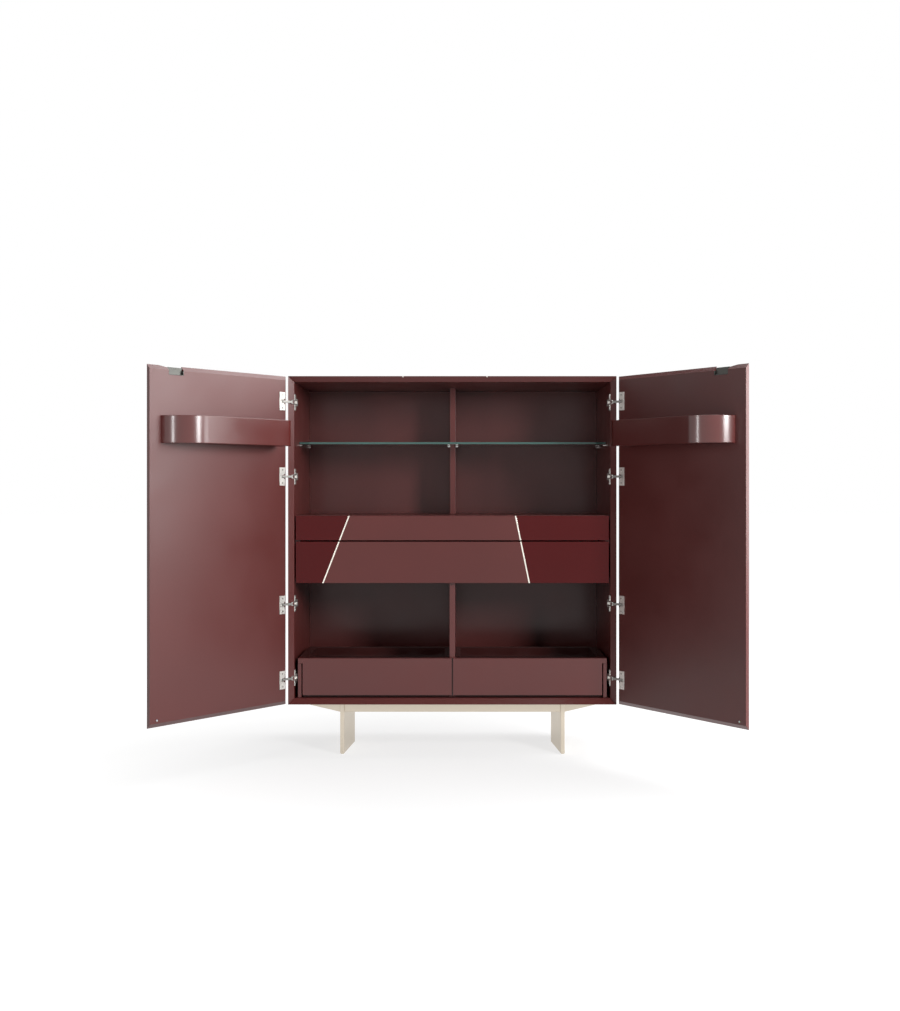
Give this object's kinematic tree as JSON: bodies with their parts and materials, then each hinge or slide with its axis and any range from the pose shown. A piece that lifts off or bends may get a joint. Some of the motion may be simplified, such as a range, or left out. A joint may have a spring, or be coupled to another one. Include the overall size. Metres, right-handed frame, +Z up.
{
  "type": "wine cabinet",
  "caption": "Tall lacquered wine cabinet on a metal blade base, with mitred double doors standing open, curved door bins, a glass shelf, inlaid drawers and low bottle drawers.",
  "frame": {"origin": "on the floor, under the middle of the outline of the cabinet with its doors open", "axes": "+X to the right and +Y to the back for someone in front of the cabinet, +Z up"},
  "size_m": [1.9694, 0.9818, 1.4],
  "materials": {
    "wine_lacquer": "satin",
    "wine_gloss_lacquer": "gloss",
    "dark_interior_lacquer": "satin",
    "champagne_metal": "satin",
    "hinge_chrome": "polished",
    "pull_metal": "brushed",
    "clear_glass": "polished"
  },
  "bodies": {
    "carcass": {"top_panel": "wine_lacquer", "bottom_panel": "wine_lacquer", "left_side_panel": "wine_lacquer", "right_side_panel": "wine_lacquer", "back_panel": "dark_interior_lacquer", "base_frame": "champagne_metal", "upper_divider": "wine_lacquer", "lower_divider": "wine_lacquer", "upper_deck": "wine_lacquer", "lower_deck": "wine_lacquer", "glass_shelf": "clear_glass", "shelf_pin_left_front": "hinge_chrome", "shelf_pin_left_rear": "hinge_chrome", "shelf_pin_right_front": "hinge_chrome", "shelf_pin_right_rear": "hinge_chrome", "shelf_pin_divider_left": "hinge_chrome", "shelf_pin_divider_right": "hinge_chrome", "left_hinge_plate_1": "hinge_chrome", "left_hinge_plate_2": "hinge_chrome", "left_hinge_plate_3": "hinge_chrome", "left_hinge_plate_4": "hinge_chrome", "right_hinge_plate_1": "hinge_chrome", "right_hinge_plate_2": "hinge_chrome", "right_hinge_plate_3": "hinge_chrome", "right_hinge_plate_4": "hinge_chrome", "left_drawer_rail": "wine_lacquer", "right_drawer_rail": "wine_lacquer"},
    "left_door_leaf": {"left_door": "wine_lacquer", "left_door_bin": "wine_lacquer", "left_finger_pull": "pull_metal", "left_hinge_cup_1": "hinge_chrome", "left_hinge_cup_2": "hinge_chrome", "left_hinge_cup_3": "hinge_chrome", "left_hinge_cup_4": "hinge_chrome"},
    "right_door_leaf": {"right_door": "wine_lacquer", "right_door_bin": "wine_lacquer", "right_finger_pull": "pull_metal", "right_hinge_cup_1": "hinge_chrome", "right_hinge_cup_2": "hinge_chrome", "right_hinge_cup_3": "hinge_chrome", "right_hinge_cup_4": "hinge_chrome"},
    "left_hinge_links": {"left_hinge_link_1": "hinge_chrome", "left_hinge_link_2": "hinge_chrome", "left_hinge_link_3": "hinge_chrome", "left_hinge_link_4": "hinge_chrome"},
    "right_hinge_links": {"right_hinge_link_1": "hinge_chrome", "right_hinge_link_2": "hinge_chrome", "right_hinge_link_3": "hinge_chrome", "right_hinge_link_4": "hinge_chrome"},
    "upper_drawer": {"upper_drawer_front": "wine_lacquer", "upper_drawer_box": "dark_interior_lacquer"},
    "lower_drawer": {"lower_drawer_front": "wine_lacquer", "lower_drawer_box": "dark_interior_lacquer"},
    "left_bottle_drawer": {"left_bottle_drawer_front": "wine_lacquer", "left_bottle_drawer_box": "dark_interior_lacquer", "left_bottle_tray": "wine_gloss_lacquer"},
    "right_bottle_drawer": {"right_bottle_drawer_front": "wine_lacquer", "right_bottle_drawer_box": "dark_interior_lacquer", "right_bottle_tray": "wine_gloss_lacquer"}
  },
  "joints": [
    {"name": "left_door_swing", "type": "hinge", "parent": "carcass", "child": "left_door_leaf", "pos_m": [-0.5901, -0.00574, 0.8], "axis": [0, 0, -1], "range_deg": [-130.65, 0]},
    {"name": "right_door_swing", "type": "hinge", "parent": "carcass", "child": "right_door_leaf", "pos_m": [0.6165, -0.00574, 0.8], "axis": [0, 0, 1], "range_deg": [-127.4, 0]},
    {"name": "left_link_fold", "type": "hinge", "parent": "carcass", "child": "left_hinge_links", "pos_m": [-0.5731, -0.00094, 0.8], "axis": [0, 0, -1], "range_deg": [-162.6, 0]},
    {"name": "right_link_fold", "type": "hinge", "parent": "carcass", "child": "right_hinge_links", "pos_m": [0.5995, -0.00094, 0.8], "axis": [0, 0, 1], "range_deg": [-160.6, 0]},
    {"name": "upper_drawer_slide", "type": "slide", "parent": "carcass", "child": "upper_drawer", "axis": [0, -1, 0], "range_m": [0, 0.3]},
    {"name": "lower_drawer_slide", "type": "slide", "parent": "carcass", "child": "lower_drawer", "axis": [0, -1, 0], "range_m": [0, 0.3]},
    {"name": "left_bottle_drawer_slide", "type": "slide", "parent": "carcass", "child": "left_bottle_drawer", "axis": [0, -1, 0], "range_m": [0, 0.25]},
    {"name": "right_bottle_drawer_slide", "type": "slide", "parent": "carcass", "child": "right_bottle_drawer", "axis": [0, -1, 0], "range_m": [0, 0.25]}
  ],
  "couplings": [
    {"joint": "left_link_fold", "follows": "left_door_swing", "ratio": 1.2436},
    {"joint": "right_link_fold", "follows": "right_door_swing", "ratio": 1.2597}
  ]
}
